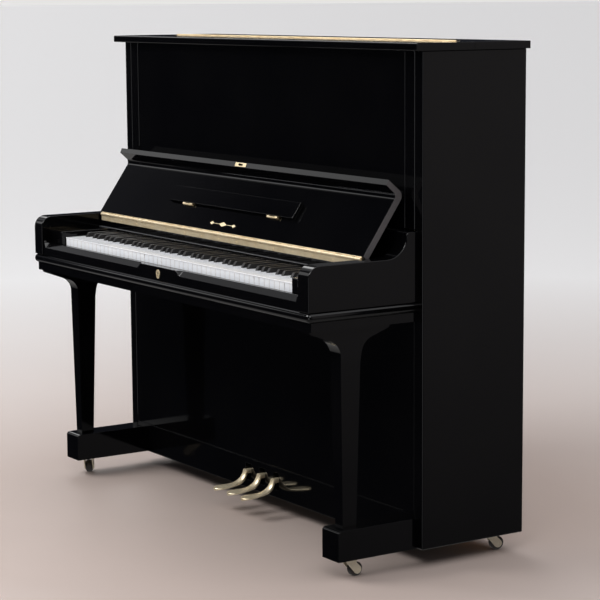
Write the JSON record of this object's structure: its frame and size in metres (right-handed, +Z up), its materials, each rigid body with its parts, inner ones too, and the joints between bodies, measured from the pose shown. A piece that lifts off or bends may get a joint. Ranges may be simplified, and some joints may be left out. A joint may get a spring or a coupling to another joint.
{
  "type": "upright piano",
  "caption": "Upright piano in polished black with open fallboard, folding music shelf, pedals and casters; lid, fallboard, keys and pedals move.",
  "frame": {"origin": "on the floor, at the centre of the piano's footprint box", "axes": "+X to the player's right, +Y from the player to the back, +Z up"},
  "size_m": [1.53, 0.65, 1.3132],
  "materials": {
    "ebony_polish": "black polyester, polished to a mirror gloss",
    "brass": "polished, lacquered",
    "buffer_rubber": "soft matte",
    "beech": "planed, clear sealed",
    "spruce": "planed, satin varnish",
    "gold_cast_iron": "bronze-gold lacquer",
    "steel": "plain",
    "action_metal": "extruded, satin",
    "wool_felt": "pressed wool felt on maple",
    "white_key_resin": "satin-gloss acrylic top on a spruce stick",
    "black_key_resin": "satin phenolic",
    "caster_metal": "brassed steel, slightly worn",
    "caster_wheel": "hard plastic tread"
  },
  "bodies": {
    "case": {"sides": "ebony_polish", "arms": "ebony_polish", "key_bed": "ebony_polish", "key_slip": "ebony_polish", "key_blocks": "ebony_polish", "name_board": "ebony_polish", "legs": "ebony_polish", "toes": "ebony_polish", "bottom_board": "ebony_polish", "lower_panel": "ebony_polish", "upper_panel": "ebony_polish", "pilasters": "ebony_polish", "rest_buffers": "buffer_rubber", "lid_rear": "ebony_polish", "lid_hinge_fixed_leaf": "brass", "fallboard_hinge_fixed_leaf": "brass", "keyhole_plate": "brass", "back_frame": "beech", "soundboard": "spruce", "iron_plate": "gold_cast_iron", "pin_block": "beech", "tuning_pins": "steel", "strings": "steel", "key_frame": "beech", "white_keys": "white_key_resin", "black_keys": "black_key_resin", "action_frame": "action_metal", "wippens": "beech", "pedal_block": "steel"},
    "lid": {"lid_front": "ebony_polish", "lid_hinge_moving_leaf": "brass"},
    "fallboard": {"fallboard": "ebony_polish", "fallboard_hinge_moving_leaf": "brass", "strike_plate": "brass", "music_shelf_hinges": "brass"},
    "music_shelf": {"music_shelf": "ebony_polish"},
    "key_c4": {"key_c4": "white_key_resin"},
    "key_c_sharp_4": {"key_c_sharp_4": "black_key_resin"},
    "key_d4": {"key_d4": "white_key_resin"},
    "key_d_sharp_4": {"key_d_sharp_4": "black_key_resin"},
    "key_e4": {"key_e4": "white_key_resin"},
    "hammers": {"hammers": "wool_felt"},
    "hammer_rest_rail": {"hammer_rest_rail": "beech"},
    "dampers": {"dampers": "wool_felt"},
    "muffler_rail": {"muffler_rail": "wool_felt"},
    "pedal_left": {"pedal_left": "brass"},
    "pedal_middle": {"pedal_middle": "brass"},
    "pedal_right": {"pedal_right": "brass"},
    "trap_rod_left": {"trap_rod_left": "beech"},
    "trap_rod_middle": {"trap_rod_middle": "beech"},
    "trap_rod_right": {"trap_rod_right": "beech"},
    "caster_fork_front_left": {"caster_fork_front_left": "caster_metal"},
    "caster_wheel_front_left": {"caster_wheel_front_left": "caster_wheel"},
    "caster_fork_front_right": {"caster_fork_front_right": "caster_metal"},
    "caster_wheel_front_right": {"caster_wheel_front_right": "caster_wheel"},
    "caster_fork_rear_left": {"caster_fork_rear_left": "caster_metal"},
    "caster_wheel_rear_left": {"caster_wheel_rear_left": "caster_wheel"},
    "caster_fork_rear_right": {"caster_fork_rear_right": "caster_metal"},
    "caster_wheel_rear_right": {"caster_wheel_rear_right": "caster_wheel"}
  },
  "joints": [
    {"name": "fallboard_hinge", "type": "hinge", "parent": "case", "child": "fallboard", "pos_m": [0, -0.128, 0.786], "axis": [-1, 0, 0], "range_deg": [-131.5, 0]},
    {"name": "music_shelf_hinge", "type": "hinge", "parent": "fallboard", "child": "music_shelf", "pos_m": [0.22, -0.09534, 0.8492], "axis": [1, 0, 0], "range_deg": [0, 100]},
    {"name": "lid_hinge", "type": "hinge", "parent": "case", "child": "lid", "pos_m": [0, 0.15, 1.3116], "axis": [-1, 0, 0], "range_deg": [0, 180]},
    {"name": "key_c4_hinge", "type": "hinge", "parent": "case", "child": "key_c4", "pos_m": [-0.05875, -0.05, 0.7037], "axis": [1, 0, 0], "range_deg": [0, 2.49], "stiffness_Nm_per_rad": 3, "springref_deg": -3.44},
    {"name": "key_c_sharp_4_hinge", "type": "hinge", "parent": "case", "child": "key_c_sharp_4", "pos_m": [-0.0491, -0.05, 0.7037], "axis": [1, 0, 0], "range_deg": [0, 2.49], "stiffness_Nm_per_rad": 3, "springref_deg": -3.44},
    {"name": "key_d4_hinge", "type": "hinge", "parent": "case", "child": "key_d4", "pos_m": [-0.03525, -0.05, 0.7037], "axis": [1, 0, 0], "range_deg": [0, 2.49], "stiffness_Nm_per_rad": 3, "springref_deg": -3.44},
    {"name": "key_d_sharp_4_hinge", "type": "hinge", "parent": "case", "child": "key_d_sharp_4", "pos_m": [-0.0214, -0.05, 0.7037], "axis": [1, 0, 0], "range_deg": [0, 2.49], "stiffness_Nm_per_rad": 3, "springref_deg": -3.44},
    {"name": "key_e4_hinge", "type": "hinge", "parent": "case", "child": "key_e4", "pos_m": [-0.01175, -0.05, 0.7037], "axis": [1, 0, 0], "range_deg": [0, 2.49], "stiffness_Nm_per_rad": 3, "springref_deg": -3.44},
    {"name": "pedal_left_hinge", "type": "hinge", "parent": "case", "child": "pedal_left", "pos_m": [-0.072, 0.045, 0.094], "axis": [1, 0, 0], "range_deg": [0, 7.5], "stiffness_Nm_per_rad": 40, "springref_deg": -5.73},
    {"name": "pedal_middle_hinge", "type": "hinge", "parent": "case", "child": "pedal_middle", "pos_m": [0, 0.045, 0.094], "axis": [1, 0, 0], "range_deg": [0, 7.5], "stiffness_Nm_per_rad": 40, "springref_deg": -5.73},
    {"name": "pedal_right_hinge", "type": "hinge", "parent": "case", "child": "pedal_right", "pos_m": [0.072, 0.045, 0.094], "axis": [1, 0, 0], "range_deg": [0, 7.5], "stiffness_Nm_per_rad": 40, "springref_deg": -5.73},
    {"name": "trap_rod_left_slide", "type": "slide", "parent": "case", "child": "trap_rod_left", "axis": [0, 0, 1], "range_m": [0, 0.00976]},
    {"name": "trap_rod_middle_slide", "type": "slide", "parent": "case", "child": "trap_rod_middle", "axis": [0, 0, 1], "range_m": [0, 0.00976]},
    {"name": "trap_rod_right_slide", "type": "slide", "parent": "case", "child": "trap_rod_right", "axis": [0, 0, 1], "range_m": [0, 0.00976]},
    {"name": "hammer_line_hinge", "type": "hinge", "parent": "case", "child": "hammers", "pos_m": [0, 0.095, 0.905], "axis": [-1, 0, 0], "range_deg": [0, 8.1]},
    {"name": "hammer_rest_rail_hinge", "type": "hinge", "parent": "case", "child": "hammer_rest_rail", "pos_m": [0.612, 0.095, 0.905], "axis": [-1, 0, 0], "range_deg": [0, 8.1]},
    {"name": "damper_line_hinge", "type": "hinge", "parent": "case", "child": "dampers", "pos_m": [0, 0.135, 0.905], "axis": [1, 0, 0], "range_deg": [0, 3.1]},
    {"name": "muffler_rail_slide", "type": "slide", "parent": "case", "child": "muffler_rail", "axis": [0, 0, -1], "range_m": [0, 0.0251]},
    {"name": "caster_swivel_front_left", "type": "hinge", "parent": "case", "child": "caster_fork_front_left", "pos_m": [-0.692, -0.182, 0.05], "axis": [0, 0, 1], "continuous": true},
    {"name": "caster_roll_front_left", "type": "hinge", "parent": "caster_fork_front_left", "child": "caster_wheel_front_left", "pos_m": [-0.70793, -0.17165, 0.018], "axis": [-0.5446, -0.8387, 0], "continuous": true},
    {"name": "caster_swivel_front_right", "type": "hinge", "parent": "case", "child": "caster_fork_front_right", "pos_m": [0.692, -0.182, 0.05], "axis": [0, 0, 1], "continuous": true},
    {"name": "caster_roll_front_right", "type": "hinge", "parent": "caster_fork_front_right", "child": "caster_wheel_front_right", "pos_m": [0.692, -0.163, 0.018], "axis": [-1, 0, 0], "continuous": true},
    {"name": "caster_swivel_rear_left", "type": "hinge", "parent": "case", "child": "caster_fork_rear_left", "pos_m": [-0.692, 0.262, 0.05], "axis": [0, 0, 1], "continuous": true},
    {"name": "caster_roll_rear_left", "type": "hinge", "parent": "caster_fork_rear_left", "child": "caster_wheel_rear_left", "pos_m": [-0.6825, 0.27845, 0.018], "axis": [-0.866, 0.5, 0], "continuous": true},
    {"name": "caster_swivel_rear_right", "type": "hinge", "parent": "case", "child": "caster_fork_rear_right", "pos_m": [0.692, 0.262, 0.05], "axis": [0, 0, 1], "continuous": true},
    {"name": "caster_roll_rear_right", "type": "hinge", "parent": "caster_fork_rear_right", "child": "caster_wheel_rear_right", "pos_m": [0.69692, 0.28035, 0.018], "axis": [-0.9659, 0.2588, 0], "continuous": true}
  ],
  "couplings": [
    {"joint": "trap_rod_left_slide", "follows": "pedal_left_hinge", "m_per_rad": 0.073},
    {"joint": "trap_rod_middle_slide", "follows": "pedal_middle_hinge", "m_per_rad": 0.073},
    {"joint": "trap_rod_right_slide", "follows": "pedal_right_hinge", "m_per_rad": 0.073},
    {"joint": "hammer_line_hinge", "follows": "pedal_left_hinge", "ratio": 1.0667},
    {"joint": "hammer_rest_rail_hinge", "follows": "pedal_left_hinge", "ratio": 1.0667},
    {"joint": "damper_line_hinge", "follows": "pedal_right_hinge", "ratio": 0.4},
    {"joint": "muffler_rail_slide", "follows": "pedal_middle_hinge", "m_per_rad": 0.191}
  ]
}
